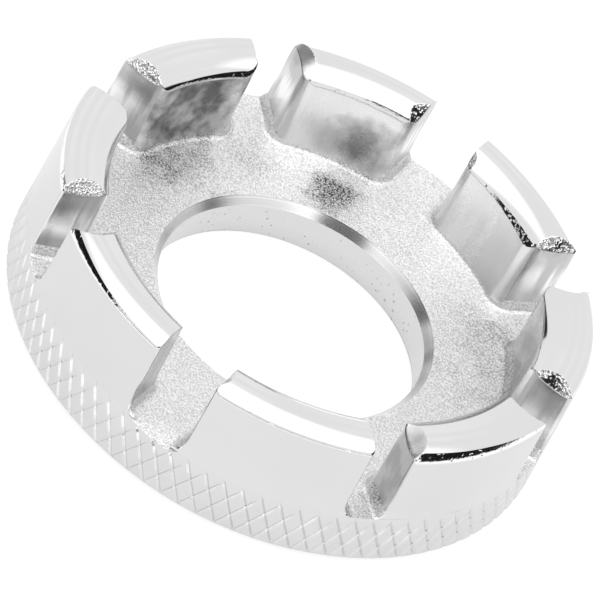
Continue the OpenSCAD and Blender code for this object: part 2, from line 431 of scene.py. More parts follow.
def make_bright_plate():
    """Outer walls of the lugs and their crowns: bright plating over a smooth ground surface."""
    metal = Material("bright_plate")
    wear = metal.use(fine_wear)
    swell = metal.noise(Scale=300, Detail=1)
    return metal.plated(colour=metal.greys(metal.use(lathe_lines)["Streak"], 0.75, 0.80),
                        roughness=metal.ramp(wear["Haze"], (0, 1), (0.05, 0.1)),
                        height=swell - 0.6 * wear["Pits"], strength=0.25, depth=0.03)


def make_edge_plate():
    """Rounded upper edges of the lugs: bright plating with small dents and nicks."""
    metal = Material("edge_plate")
    dents = metal.noise(Scale=2300, Detail=2)
    nicks = metal.ramp(metal.noise(Scale=1500, Detail=1), (0.62, 0.7))
    return metal.plated(colour=grey(0.78), roughness=0.1, height=dents - nicks, strength=0.3, depth=0.05)


def make_cast_plate():
    """Web, upper face of the rim and feet of the lugs: plating over the grain of the casting, darkened in
    spots of painted shade.
    """
    metal = Material("cast_plate")
    grain = metal.use(cast_grain)
    # painted shade: the dark patches, broken up by the casting's speckle
    shade_in_speckle = metal.use(painted_shade)["Amount"] * metal.ramp(grain["Speckle"], (0, 1), (0.35, 1.0))
    dark = metal.most(shade_in_speckle + 0.36 * grain["Speckle"], 0.4 * metal.use(fine_wear)["Pits"])
    return metal.plated(colour=metal.greys(dark, PLAIN_GREY, SPECKLE_AND_SHADE_GREY), roughness=0.3,
                        height=grain["Height"], strength=1.0, depth=0.09)


def make_drawn_plate():
    """Inner walls of the lugs and smooth scoops: upright draw marks and a soft sheen, darkened in spots of
    painted shade.
    """
    metal = Material("drawn_plate")
    lines = metal.use(brush_lines)
    # painted shade patches, with the draw marks' own tone
    painted_shade_and_marks = 0.85 * metal.use(painted_shade)["Amount"] + 0.12 * lines["Shade"]
    return metal.plated(colour=metal.greys(painted_shade_and_marks, PLAIN_GREY, SPECKLE_AND_SHADE_GREY),
                        roughness=metal.ramp(lines["Shade"], (0, 1), (0.3, 0.2)),
                        height=lines["Height"], strength=0.5, depth=0.04)


def make_filed_plate():
    """End walls of the lugs: streaks from the slot cutter, with a painted highlight at mid height, and
    painted shade on one side of the ring and in spots.
    """
    metal = Material("filed_plate")
    painted_dark = metal.use(painted_shade)["Amount"]
    streaks = metal.noise(metal.stretched(1, 1, 0.1), Scale=900, Detail=2)
    grain = metal.noise(Scale=4200, Detail=2)
    # painted highlight: a bright spot painted at mid height on one side of the ring
    spots = (metal.ramp(streaks, (0.36, 0.54)) * metal.ramp(metal.along(HIGHLIGHT_SIDE), mm(*HIGHLIGHT_FROM))
             * metal.ramp(metal.radius(), mm(*HIGHLIGHT_R), (HIGHLIGHT_FAINT, 1.0)))
    off = metal.maths("ABSOLUTE", metal.axis("Z") - HIGHLIGHT_Z * MM)
    painted_highlight = metal.ramp(off, mm(*HIGHLIGHT_H), (1.0, 0.0)) * spots
    # painted shade: the end walls on one side are painted darker round the highlights
    painted_side_shade = (1.0 - painted_highlight) * metal.ramp(metal.along(SHADED_SIDE), mm(*SHADED_FROM), (0.0, SHADED_BY))
    # the painted shade spots darken the walls further
    shade = painted_highlight + 0.35 * metal.ramp(streaks, (0.35, 0.65)) - painted_side_shade - 0.65 * painted_dark
    lowest = metal.ramp(painted_dark, (0.55, 0.85), (0.0, -0.35)) - painted_side_shade
    shade = metal.ramp(metal.most(shade, lowest), (-0.375, 1.0))
    return metal.plated(colour=metal.greys(shade, 0.45, 1.0), roughness=0.22,
                        height=streaks + 0.25 * grain, strength=0.5, depth=0.06)


def make_bore_plate():
    """Bore wall: smooth, with pits of the casting showing towards the back."""
    metal = Material("bore_plate")
    low = metal.ramp(metal.axis("Z"), mm(0.0, PITS_UP_TO), (0.13, 0.0))
    size = low + metal.ramp(metal.noise(Scale=260, Detail=2), (0.4, 0.7), (0.0, 0.16))
    hole = metal.maths("LESS_THAN", metal.cells(1300)["Distance"], size)
    swell = metal.noise(Scale=900, Detail=3)
    return metal.plated(colour=metal.greys(0.45 * hole, 0.76, 0.2),
                        roughness=metal.ramp(metal.use(fine_wear)["Haze"], (0, 1), (0.2, 0.3)),
                        height=swell - hole, strength=0.4, depth=0.05)


def make_broken_plate(name, torn):
    """Rough scoops: coarse and crystalline, as filed and plated over; facets turned away from the light are
    painted near black, a painted shade, with more of them in the painted-shade spots and where an edge is
    torn.
    """
    metal = Material(name)
    grain = metal.use(crystal)
    amount = metal.most(metal.use(painted_shade)["Amount"], torn)
    # painted shade: facets that turn away from the light are painted dark
    away = grain["Facet"] - metal.ramp(amount, (0, 1), (0.62, 0.42))
    dark = metal.ramp(away, (-0.04, 0.06)) * metal.ramp(amount, (0, 0.8), (0.5, 1.0))
    return metal.plated(colour=metal.greys(dark, 0.84, 0.02), roughness=0.2,
                        height=grain["Height"], strength=0.8, depth=0.12)


def make_knurl_plate():
    """Knurled band: the bright plating, a little uneven where the tool pressed it."""
    metal = Material("knurl_plate")
    pressed = metal.ramp(metal.axis("Z"), mm(PRESSED_UP_TO, SHOULDER_Z), (1.0, 0.0))
    swell = metal.noise(Scale=1400, Detail=2)
    return metal.plated(colour=metal.greys(metal.use(fine_wear)["Haze"] * pressed, 0.77, 0.73),
                        roughness=metal.ramp(pressed, (0, 1), (0.08, 0.16)),
                        height=swell * pressed, strength=0.4, depth=0.05)


def make_turned_plate():
    """Chamfer of the bore: fine turning rings."""
    metal = Material("turned_plate")
    rings = metal.use(lathe_lines)
    return metal.plated(colour=metal.greys(rings["Shade"], 0.62, 0.88), roughness=0.21,
                        height=rings["Height"], strength=0.35, depth=0.02)


bright_plate = make_bright_plate()
edge_plate = make_edge_plate()
cast_plate = make_cast_plate()
drawn_plate = make_drawn_plate()
broken_plate = make_broken_plate("broken_plate", 0.0)
torn_plate = make_broken_plate("torn_plate", 1.0)
filed_plate = make_filed_plate()
turned_plate = make_turned_plate()
bore_plate = make_bore_plate()
knurl_plate = make_knurl_plate()


# Web: a turned profile

WEB_STEPS = 12
TURN_STEPS = 360
WEB_SHARP = 25
# flare at the back of the bore, as shares of its width and height, and how wide its back edge is broken
FLARE_POINTS = ((0.0, 1.05), (0.08, 0.9), (0.45, 0.45), (1.0, 0.075))
BACK_EDGE = 0.15
WEB_FACE, BORE_CHAMFER, BORE_WALL = range(3)


def make_web():
    """Ring from the bore to the rim: the web's upper face, the chamfer, the bore and the back."""
    profile = [(RIM_IN_R, 0.0)]
    for i in range(WEB_STEPS + 1):
        r = RIM_IN_R + (WEB_EDGE_R - RIM_IN_R) * i / WEB_STEPS
        profile.append((r, web_z(r)))
    profile.append((BORE_R, WEB_T - BORE_CHAMFER_H))
    profile += [(BORE_R + FLARE_W * out, FLARE_H * up) for out, up in FLARE_POINTS]
    profile.append((BORE_R + FLARE_W + BACK_EDGE, 0.0))
    bm = bmesh.new()
    verts = [bm.verts.new((r, 0, z)) for r, z in profile]
    edges = [bm.edges.new((a, b)) for a, b in zip(verts, verts[1:] + verts[:1])]
    bmesh.ops.spin(bm, geom=verts + edges, cent=(0, 0, 0), axis=(0, 0, 1), angle=2 * math.pi,
                   steps=TURN_STEPS, use_merge=True)
    for face in bm.faces:
        middle = face.calc_center_median()
        if math.hypot(middle.x, middle.y) < WEB_EDGE_R:
            face.material_index = BORE_CHAMFER if middle.z > WEB_T - BORE_CHAMFER_H else BORE_WALL
    finish_piece(bm, "plated_web", "core_ring", [cast_plate, turned_plate, bore_plate], WEB_SHARP)


# Rim: an unrolled diamond lattice, wrapped

ROW_H = 1.62
FIRST_ROW_Z = 0.63
# the rows of diamonds, from one that the back cuts off to one that the shoulder cuts off
KNURL_ROWS = range(-1, 5)
PITCH_ANGLE = 2 * math.pi / KNURL_N
FIRST_CROSSING = math.radians(-77.1) - PITCH_ANGLE / 2
PITCH = PITCH_ANGLE * RIM_R
HALF_GROOVE = GROOVE_W * math.hypot(PITCH / 2, ROW_H) / (2 * PITCH * ROW_H)
LAND_STEPS = 3
SEAM_WELD = 1e-4
LEVEL_WITHIN = 1e-3
RIM_SHARP = 20
KNURLED, RIM_FACE = range(2)
# share of the groove's depth left under the plating
GROOVE_LOOK = 0.8
# cuts through the wall for its back chamfer, as shares of the chamfer's height
CHAMFER_CUTS = (1.0, 0.875, 0.75, 0.5)
# Grooves of either hand: step and row of the noise that lets them wander, heights where they begin to
# run out and where they end, each with how far it wanders, and the share of the depth that they have
LEFT_HAND = ((0.7, 3.1), (5.5, 0.3), (5.95, 0.1), 1.0)
RIGHT_HAND = ((0.9, 7.7), (4.9, 0.5), (5.45, 0.4), 0.82)
# How deep the floor of a slot dips at its mouth, by slot; where that starts on the wall; how flat the
# dip is in its middle, and how far it leans to one side
MOUTH_DIPS = {1: 0.6, 8: 0.25}
DIP_FROM_Z = 4.6
DIP_POWER = 3
DIP_LEAN = 0.5
# rings of the rim's upper face from the mouth inwards: radius and share of the dip
MOUTH_RINGS = ((RIM_R - 0.25, 0.86), (RIM_R - 0.8, 0.58), (RIM_R - 1.6, 0.22), (RIM_IN_R, 0.0))


def groove_share(position):
    """How deep the surface lies in a groove that runs at the whole numbers, from 0 to 1."""
    return max(0.0, 1 - abs(position - round(position)) / HALF_GROOVE)


def fade(z, start, end):
    """1 below the start, 0 above the end, and between from there to there."""
    return min(1.0, max(0.0, (end - z) / (end - start)))


def hand_depth(position, z, hand):
    """How deep the grooves of one hand are, as a share of the full depth."""
    (step, row), (start, start_wander), (end, end_wander), share = hand
    wobble = noise.noise(Vector((round(position) * step, row, 0)))
    run_out = fade(z, start + start_wander * wobble, end + end_wander * wobble)
    return groove_share(position) * run_out * share


def knurl_depth(angle, z):
    """Depth of the knurl: left-hand grooves run out higher than right-hand ones."""
    u = (angle - FIRST_CROSSING) / PITCH_ANGLE
    v = (z - FIRST_ROW_Z) / ROW_H
    return GROOVE_LOOK * GROOVE_D * max(hand_depth(u + v / 2, z, LEFT_HAND),
                                        hand_depth(u - v / 2, z, RIGHT_HAND))


def mouth_dip(angle):
    """How far the outer edge of the web hangs down where a slot runs out through the rim."""
    for i, depth in MOUTH_DIPS.items():
        off = angle - slot_angle(i)
        across = RIM_R * math.sin(off) / (SLOTS[i - 1] / 2)
        if abs(across) < 1 and math.cos(off) > 0:
            return depth * (1 - abs(across) ** DIP_POWER) * (1 + DIP_LEAN * across)
    return 0.0


def knurl_lattice():
    """Cylinder of diamonds: one column of them is spun round the axis."""
    bm = bmesh.new()
    land = 1 - 2 * HALF_GROOVE
    lines = [0, *(HALF_GROOVE + land * i / LAND_STEPS for i in range(LAND_STEPS + 1)), 1]
    steps = len(lines) - 1
    for row in KNURL_ROWS:
        diamond = bmesh.ops.create_grid(bm, x_segments=steps, y_segments=steps, size=0.5)
        for vert in diamond["verts"]:
            left = lines[round((vert.co.x + 0.5) * steps)]
            right = lines[round((vert.co.y + 0.5) * steps)]
            u = (left + right) / 2 + (0.5 if row % 2 else 0.0)
            z = FIRST_ROW_Z + (row + left - right) * ROW_H
            vert.co = polar(RIM_R, FIRST_CROSSING + u * PITCH_ANGLE, z)
    bmesh.ops.spin(bm, geom=bm.verts[:] + bm.edges[:] + bm.faces[:], cent=(0, 0, 0), axis=(0, 0, 1),
                   angle=2 * math.pi * (KNURL_N - 1) / KNURL_N, steps=KNURL_N - 1, use_duplicate=True)
    bmesh.ops.remove_doubles(bm, verts=bm.verts, dist=SEAM_WELD)
    return bm


def cut_level(bm, z, **clear):
    """Cuts a mesh through at a height, and clears what lies above or below if that is asked for."""
    bmesh.ops.bisect_plane(bm, geom=bm.verts[:] + bm.edges[:] + bm.faces[:], dist=WELD,
                           plane_co=(0, 0, z), plane_no=(0, 0, 1), **clear)


def level_loop(bm, z):
    """Open edges of a mesh at a height."""
    return [edge for edge in bm.edges
            if edge.is_boundary and all(abs(vert.co.z - z) < LEVEL_WITHIN for vert in edge.verts)]


def shape_wall(bm):
    """Draws the cylinder in to the drafted wall, its knurl, its back chamfer and the slots' mouths."""
    for vert in bm.verts:
        angle, z = math.atan2(vert.co.y, vert.co.x), vert.co.z
        sink = max(knurl_depth(angle, z), BACK_CHAMFER - z)
        z -= mouth_dip(angle) * max(0.0, (z - DIP_FROM_Z) / (SHOULDER_Z - DIP_FROM_Z)) ** 2
        vert.co = polar(wall_r(z) - sink, angle, z)


def rim_ring(bm, loop, radius, z, dip_share):
    """Extrudes a loop of the rim to a radius and a height, and returns the new loop."""
    faces, verts, edges = extrude_ring(bm, loop)
    for face in faces:
        face.material_index = RIM_FACE
    for vert in verts:
        angle = math.atan2(vert.co.y, vert.co.x)
        vert.co = polar(radius, angle, z - dip_share * mouth_dip(angle))
    return edges


def make_rim():
    """Knurled band, with the back and the upper face that join it to the web."""
    bm = knurl_lattice()
    cut_level(bm, SHOULDER_Z, clear_outer=True)
    cut_level(bm, 0.0, clear_inner=True)
    for share in CHAMFER_CUTS:
        cut_level(bm, BACK_CHAMFER * share)
    back, shoulder = level_loop(bm, 0.0), level_loop(bm, SHOULDER_Z)
    shape_wall(bm)
    back = rim_ring(bm, back, RIM_IN_R, 0.0, 0.0)
    for radius, dip_share in MOUTH_RINGS:
        shoulder = rim_ring(bm, shoulder, radius, web_z(radius), dip_share)
    bmesh.ops.bridge_loops(bm, edges=back + shoulder)
    finish_piece(bm, "plated_rim", "knurled_rim", [knurl_plate, cast_plate], RIM_SHARP)


# Lugs

LUG_MATERIALS = [bright_plate, drawn_plate, cast_plate, broken_plate, filed_plate, torn_plate, edge_plate]
BRIGHT, DRAWN, CAST, BROKEN, FILED, TORN, WORN = range(len(LUG_MATERIALS))
LUG_SHARP = 20
# height at which the wall's radius is taken for the rounded upper edge
EDGE_Z = 14.2
# each ring of a rounded upper edge, as shares of the rounding: how far out and how far down
EDGE_STEPS = ((0.05, 0.05), (0.5, 0.56), (0.86, 1.0), (0.97, 1.35), (1.0, 1.7))
INNER_EDGE_DROP, OUTER_EDGE_DROP = 0.45, 0.8
END_ROUND = 0.06
OUTER_CORNER_R = 0.35
# rings between the rounding and the foot, as shares of the way down
WALL_STEPS = (0.2, 0.4, 0.6, 0.8)
# relief of a rough scoop, in millimetres, ripples of its noise to a millimetre, and how far apart in
# the noise two lugs lie
SCOOP_ROUGH = 0.035
SCOOP_RIPPLES = 3.5
SCOOP_APART = 9
# a face of the top belongs to a scoop where it lies this far below the crown
SCOOP_EDGE = 0.03
TORN_LUG = 4
# shares of the outline's sides that the corner rounds take
INNER_CORNER, OUTER_CORNER = 0.1, 0.02
INNER_END, OUTER_END = 0.25, 0.95
# a face of the wall is an outer one beyond this t, and an end one beyond this endness
OUTSIDE = 0.999
AT_END = 0.6
# the upper face's grid: how many lines lie across, near each end and between, and how much of the
# lug counts as near an end
ACROSS_STEPS = 44
END_STEPS = 22
MIDDLE_STEPS = 44
END_SHARE = 0.15
# kinds of foot
STEPPED, DRAFTED, SOFT = range(3)
# Lower part of a lug's wall and its foot, as (how far out, how high above the web), for a
# stepped, a drafted and a soft foot, ring by ring
FOOT_RINGS = (
    ((0.0, 2.6), (0.22, 2.6), (0.0, 2.6)),
    ((0.0, 1.7), (0.30, 1.7), (0.01, 1.9)),
    ((0.0, 1.15), (0.36, 1.15), (0.05, 1.4)),
    ((0.015, 0.94), (0.40, 0.9), (0.10, 1.1)),
    ((0.05, 0.87), (0.43, 0.72), (0.17, 0.85)),
    ((0.10, 0.82), (0.46, 0.55), (0.26, 0.64)),
    ((0.17, 0.73), (0.49, 0.40), (0.36, 0.47)),
    ((0.50, 0.22), (0.53, 0.22), (0.50, 0.30)),
    ((0.57, 0.10), (0.57, 0.11), (0.66, 0.17)),
    ((0.63, 0.07), (0.63, 0.08), (0.80, 0.10)),
    ((0.70, 0.10), (0.70, 0.11), (0.92, 0.055)),
    ((0.78, 0.055), (0.78, 0.06), (1.05, 0.02)),
    ((0.90, 0.0), (0.90, 0.0), (1.2, 0.0)),
    ((0.90, -0.08), (0.90, -0.08), (1.2, -0.08)),
    ((0.90, -0.3), (0.90, -0.3), (1.2, -0.3)),
)
# the last ring above the grain of the casting, for each kind
CAST_FROM_RING = (3, 6, 3)
# how far a lug's outer wall laps over the rim, so that no crack shows between them, and how far
# below the web a ring is drawn in under it instead
WALL_LAP = 0.003
LAP_DOWN_TO = -0.1
# the rings of a lug's wall from its upper edge down: kind, and step, share or number of the ring
RINGS = (*(("round", step) for step in EDGE_STEPS), *(("wall", share) for share in WALL_STEPS),
         *(("foot", ring) for ring in range(len(FOOT_RINGS))))


@dataclass
class Scoop:
    """Lead-in at one end of a lug: its depth below the crest at the slot, its shift towards the bore,
    its curve across, how steeply it rises away from the slot and whether it is rough."""
    depth: float
    inwards: float = 0.0
    curve: float = 0.11
    steep: float = 1.0
    rough: bool = False


@dataclass
class Form:
    """How a lug came out of the mould and off the grinder: its scoops at slot i and at slot i + 1,
    the rounding of its outer and inner upper edge at slot i, half way and at slot i + 1, the kind of
    foot at its inner side and at its ends, and how much higher than the others its crest is."""
    scoops: tuple
    outer_round: tuple = (0.15, 0.15, 0.15)
    inner_round: tuple = (0.15, 0.15, 0.15)
    inner_foot: int = STEPPED
    end_foot: int = STEPPED
    crest: float = 0.0


LUG_FORMS = {
    1: Form((Scoop(0.5), Scoop(0.1)), outer_round=(0.12, 0.14, 0.15), inner_foot=SOFT, end_foot=SOFT),
    2: Form((Scoop(1.4, steep=0.95), Scoop(1.2)), outer_round=(0.56, 0.44, 0.15)),
    3: Form((Scoop(1.15, inwards=0.2, curve=0.05, steep=1.25, rough=True), Scoop(1.4, rough=True)),
            outer_round=(0.20, 0.20, 0.20), inner_round=(0.20, 0.12, 0.10)),
    4: Form((Scoop(1.1, curve=0.04, rough=True), Scoop(2.15, inwards=4.0, curve=0.30, rough=True)),
            inner_round=(0.46, 0.20, 0.12), inner_foot=DRAFTED),
    5: Form((Scoop(1.4, inwards=2.6, curve=0.25, steep=0.8, rough=True),
             Scoop(0.78, curve=-0.1, steep=0.65)),
            inner_round=(0.32, 0.26, 0.20), inner_foot=DRAFTED),
    6: Form((Scoop(0.4, curve=-0.05), Scoop(1.25, inwards=0.2, curve=0.05, steep=1.2, rough=True)),
            inner_round=(0.44, 0.24, 0.07), inner_foot=DRAFTED, crest=-0.12),
    7: Form((Scoop(0.45, curve=-0.05), Scoop(1.15, curve=0.05, rough=True)),
            outer_round=(0.12, 0.20, 0.34), inner_round=(0.18, 0.18, 0.18)),
    8: Form((Scoop(1.6, rough=True), Scoop(0.0)), outer_round=(0.50, 0.22, 0.12),
            inner_round=(0.26, 0.26, 0.26), inner_foot=DRAFTED, end_foot=SOFT),
}


class Lug:
    """Outline, upper face and wall of the lug between slots i and i + 1, in millimetres.

    A place on the outline is s along the lug, 0 at slot i and 1 at slot i + 1, and t across it,
    0 at the inner wall and 1 at the outer wall."""

    def __init__(self, i):
        self.i = i
        self.form = LUG_FORMS[i]
        self.dirs = [slot_angle(i), slot_angle(i + 1)]
        self.halves = [SLOTS[i - 1] / 2, SLOTS[i % 8] / 2]

    def from_slot(self, end, x, y):
        """Point of the plan from distances along a slot and away from its middle, into the lug."""
        a = self.dirs[end]
        side = 1 if end == 0 else -1
        return Vector((x * math.cos(a) - side * y * math.sin(a), x * math.sin(a) + side * y * math.cos(a)))

    def to_slot(self, end, p):
        """Distances of a point of the plan along a slot and away from its middle, into the lug."""
        a = self.dirs[end]
        side = 1 if end == 0 else -1
        return p.x * math.cos(a) + p.y * math.sin(a), side * (p.y * math.cos(a) - p.x * math.sin(a))

    def inner_round(self, end, grow, share):
        """Point on the round between inner wall and slot wall; share 0 is its slot-wall end."""
        y = self.halves[end] + CORNER_R
        x = math.sqrt((LUG_IN_R + CORNER_R) ** 2 - y * y)
        angle = -math.pi / 2 - share * (math.pi / 2 - math.atan2(y, x))
        r = CORNER_R + grow
        return self.from_slot(end, x + r * math.cos(angle), y + r * math.sin(angle))

    def outer_round(self, end, grow, outer_r, share):
        """Point on the round between slot wall and outer wall; share 0 is its slot-wall end."""
        r = OUTER_CORNER_R
        y = self.halves[end] - grow + r
        x = math.sqrt((outer_r - r) ** 2 - y * y)
        angle = -math.pi / 2 + share * (math.pi / 2 + math.atan2(y, x))
        return self.from_slot(end, x + r * math.cos(angle), y + r * math.sin(angle))

    def arc(self, radius, start, end, share):
        """Point on an arc round the axis, counter-clockwise between the directions of two points."""
        a, b = math.atan2(start.y, start.x), math.atan2(end.y, end.x)
        b += 2 * math.pi * (b < a)
        return polar(radius, blend(a, b, share))

    def inner_side(self, grow, s):
        """Point of the outline's inner side, moved outwards by grow."""
        if s < INNER_CORNER:
            return self.inner_round(0, grow, 0.5 + 0.5 * s / INNER_CORNER)
        if s > 1 - INNER_CORNER:
            return self.inner_round(1, grow, 0.5 + 0.5 * (1 - s) / INNER_CORNER)
        return self.arc(LUG_IN_R - grow, self.inner_round(0, grow, 1), self.inner_round(1, grow, 1),
                        (s - INNER_CORNER) / (1 - 2 * INNER_CORNER))

    def outer_side(self, grow, outer_r, s):
        """Point of the outline's outer side, which lies at outer_r."""
        if s < OUTER_CORNER:
            return self.outer_round(0, grow, outer_r, 0.5 + 0.5 * s / OUTER_CORNER)
        if s > 1 - OUTER_CORNER:
            return self.outer_round(1, grow, outer_r, 0.5 + 0.5 * (1 - s) / OUTER_CORNER)
        return self.arc(outer_r, self.outer_round(0, grow, outer_r, 1),
                        self.outer_round(1, grow, outer_r, 1), (s - OUTER_CORNER) / (1 - 2 * OUTER_CORNER))

    def end_side(self, end, grow, outer_r, t):
        """Point of the outline's side along a slot, moved into the slot by grow."""
        if t < INNER_END:
            return self.inner_round(end, grow, 0.5 * (1 - t / INNER_END))
        if t > OUTER_END:
            return self.outer_round(end, grow, outer_r, 0.5 * (t - OUTER_END) / (1 - OUTER_END))
        a, b = self.inner_round(end, grow, 0), self.outer_round(end, grow, outer_r, 0)
        return a.lerp(b, (t - INNER_END) / (OUTER_END - INNER_END))

    def outline(self, s, t, grow, outer_r):
        """Point of the plan at (s, t): on the outline where s or t is 0 or 1, and between elsewhere."""
        low, high = self.inner_side(grow, s), self.outer_side(grow, outer_r, s)
        left, right = self.end_side(0, grow, outer_r, t), self.end_side(1, grow, outer_r, t)
        c00, c10 = self.inner_side(grow, 0), self.inner_side(grow, 1)
        c01, c11 = self.outer_side(grow, outer_r, 0), self.outer_side(grow, outer_r, 1)
        corners = (c00 * (1 - s) + c10 * s) * (1 - t) + (c01 * (1 - s) + c11 * s) * t
        return low * (1 - t) + high * t + left * (1 - s) + right * s - corners

    def endness(self, s, t):
        """1 on the end walls, 0 on the inner and outer walls, and between on the corner rounds."""
        near = min(s, 1 - s)
        if near <= 0:
            if t < INNER_END:
                return 0.5 + 0.5 * t / INNER_END
            return 1.0 if t < OUTER_END else 0.5 + 0.5 * (1 - t) / (1 - OUTER_END)
        corner = INNER_CORNER if t < 0.5 else OUTER_CORNER
        return max(0.0, 0.5 - 0.5 * near / corner)

    def edge_round(self, s, t):
        """Radius of the rounding of the upper edge next to a place on the outline."""
        half = int(s > 0.5)
        inner, outer = (blend(at[half], at[half + 1], 2 * s - half)
                        for at in (self.form.inner_round, self.form.outer_round))
        return blend(blend(inner, outer, t), END_ROUND, self.endness(s, t))

    def foot(self, ring, s, t):
        """How far out and how high above the web a ring of the foot lies at a place on the outline."""
        end = FOOT_RINGS[ring][self.form.end_foot]
        if t >= 0.5:
            return end
        side = FOOT_RINGS[ring][self.form.inner_foot]
        share = self.endness(s, t)
        return [blend(a, b, share) for a, b in zip(side, end)]

    def crown_z(self, p):
        """Height of the domed crown at a point of the plan."""
        off = min(abs(math.hypot(p.x, p.y) - CREST_R), CROWN_R)
        return CROWN_Z + math.sqrt(CROWN_R ** 2 - off ** 2) + self.form.crest

    def scoop_z(self, end, p):
        """Height of the scoop at an end of the lug, before its roughness, at a point of the plan."""
        scoop = self.form.scoops[end]
        x, y = self.to_slot(end, p)
        across = x - CREST_R + scoop.inwards
        return OVERALL_H - scoop.depth + scoop.curve * across ** 2 + scoop.steep * (y - self.halves[end])

    def top_z(self, p):
        """Height of the upper face at a point of the plan: the crown, or a scoop where one is lower."""
        z = self.crown_z(p)
        for end, scoop in enumerate(self.form.scoops):
            floor = self.scoop_z(end, p)
            if floor < z:
                ripple = noise.noise(Vector((p.x, p.y, SCOOP_APART * self.i)) * SCOOP_RIPPLES)
                z = min(z, floor + scoop.rough * SCOOP_ROUGH * ripple)
        return z

    def top_point(self, s, t):
        """Point of the upper face, within the rounding of its edge."""
        inset = self.edge_round(s, t)
        p = self.outline(s, t, -inset, wall_r(EDGE_Z) - inset)
        return p.x, p.y, self.top_z(p)

    def round_point(self, step, s, t):
        """Point on a ring of the rounded upper edge."""
        out, down = step
        inset = self.edge_round(s, t)
        grow = -inset * (1 - out)
        p = self.outline(s, t, grow, wall_r(EDGE_Z) + grow)
        return p.x, p.y, self.top_z(p) - blend(INNER_EDGE_DROP, OUTER_EDGE_DROP, t) * inset * down

    def wall_point(self, share, s, t, edge_z, near_z):
        """Point a share of the way down from the edge to the foot, at a height not far from near_z."""
        grow, height = self.foot(0, s, t)
        p = self.outline(s, t, grow * share, wall_r(near_z))
        z = blend(edge_z, web_z(p.length) + height, share)
        p = self.outline(s, t, grow * share, wall_r(z))
        return p.x, p.y, z

    def foot_point(self, ring, s, t):
        """Point on a ring of the foot."""
        grow, height = self.foot(ring, s, t)
        lap = WALL_LAP if height > LAP_DOWN_TO else height
        p = self.outline(s, t, grow, wall_r(SHOULDER_Z + height) + lap)
        return p.x, p.y, web_z(p.length) + height

    def wall_material(self, kind, value, s, t, outside):
        """Which of the lug's materials a face next to a ring of the wall has."""
        if outside:
            return WORN if kind == "round" else BRIGHT
        at_end = self.endness(s, t) > AT_END
        if kind == "round":
            torn = self.i == TORN_LUG and s < 0.5 and t < 0.5
            return FILED if at_end else TORN if torn else WORN
        foot = self.form.end_foot if at_end else self.form.inner_foot
        if kind == "foot" and value > CAST_FROM_RING[foot]:
            return CAST
        return FILED if at_end else DRAWN


def end_lines():
    """Grid lines from 0 to 1, closer together near both ends."""
    first = [END_SHARE * i / END_STEPS for i in range(END_STEPS)]
    middle = [END_SHARE + (1 - 2 * END_SHARE) * i / MIDDLE_STEPS for i in range(MIDDLE_STEPS)]
    return first + middle + [1 - END_SHARE] + [1 - line for line in reversed(first)]


def make_lug_top(bm, lug, s_key, t_key):
    """Grid over the whole plan of a lug, raised to its upper face."""
    lines = end_lines()
    steps = len(lines) - 1
    bmesh.ops.create_grid(bm, x_segments=steps, y_segments=ACROSS_STEPS, size=0.5)
    for vert in bm.verts:
        s = lines[round((vert.co.x + 0.5) * steps)]
        t = round((vert.co.y + 0.5) * ACROSS_STEPS) / ACROSS_STEPS
        vert[s_key], vert[t_key] = s, t
        vert.co = lug.top_point(s, t)
    for face in bm.faces:
        middle = face.calc_center_median()
        if lug.crown_z(middle) - middle.z > SCOOP_EDGE:
            scoop = lug.form.scoops[face.verts[0][s_key] > 0.5]
            face.material_index = BROKEN if scoop.rough else DRAWN


def make_lug(i):
    """One lug: a grid makes its upper face, and its edge is drawn down ring by ring to the web."""
    lug = Lug(i)
    bm = bmesh.new()
    s_key = bm.verts.layers.float.new("s")
    t_key = bm.verts.layers.float.new("t")
    z_key = bm.verts.layers.float.new("edge_z")
    make_lug_top(bm, lug, s_key, t_key)
    loop = [edge for edge in bm.edges if edge.is_boundary]
    for kind, value in RINGS:
        faces, verts, loop = extrude_ring(bm, loop)
        for face in faces:
            s, t = face.verts[0][s_key], face.verts[0][t_key]
            outside = min(vert[t_key] for vert in face.verts) > OUTSIDE
            face.material_index = lug.wall_material(kind, value, s, t, outside)
        for vert in verts:
            s, t = vert[s_key], vert[t_key]
            if kind == "round":
                vert.co = lug.round_point(value, s, t)
                vert[z_key] = vert.co.z
            elif kind == "wall":
                vert.co = lug.wall_point(value, s, t, vert[z_key], vert.co.z)
            else:
                vert.co = lug.foot_point(value, s, t)
    bmesh.ops.holes_fill(bm, edges=loop, sides=0)
    bmesh.ops.triangulate(bm, faces=[face for face in bm.faces if len(face.verts) > 4])
    finish_piece(bm, "plated_lug_%d" % i, "lug_%d" % i, LUG_MATERIALS, LUG_SHARP)


# Camera, light and table, in metres

SENSOR_W = 36
LENS = 300
# where the camera stands, and its own right, up and backward directions
CAMERA_PLACE = Vector((0.07544, -0.35509, 0.31085))
CAMERA_RIGHT = Vector((0.78686, 0.48947, 0.37585))
CAMERA_UP = Vector((-0.59635, 0.44639, 0.66716))
CAMERA_BACK = Vector((0.15878, -0.74910, 0.64315))

# half the table's width, and how far it lies below the wrench, so that their faces don't coincide
TABLE_HALF = 3
TABLE_GAP = 0.00002
# how bright its own white is to the camera, and in the metal close to the wrench and further off; the
# darker white close to the wrench is painted shade
TABLE_SEEN = 0.8
TABLE_R = (0.047, 0.08)
TABLE_MIRRORED = (0.62, 0.92)
# greys of its matt surface, in the light that it throws back and where it is seen
TABLE_MATT = 0.9
TABLE_FAINT = 0.25

# each board: its direction, the height of its lower and upper edge and half its width, in
# degrees, and how bright it is
BOARDS = (
    (15, 2, 24, 35, 0.012),
    (-157, 1.5, 29, 22, 0.012),
    (165, 0.5, 14, 16, 0.012),
    (-82, 29, 51, 22, 0.06),
    (-85, 6, 13, 60, 0.3),
    (-85, 0, 5, 60, 1.5),
)
BOARD_R = 0.75

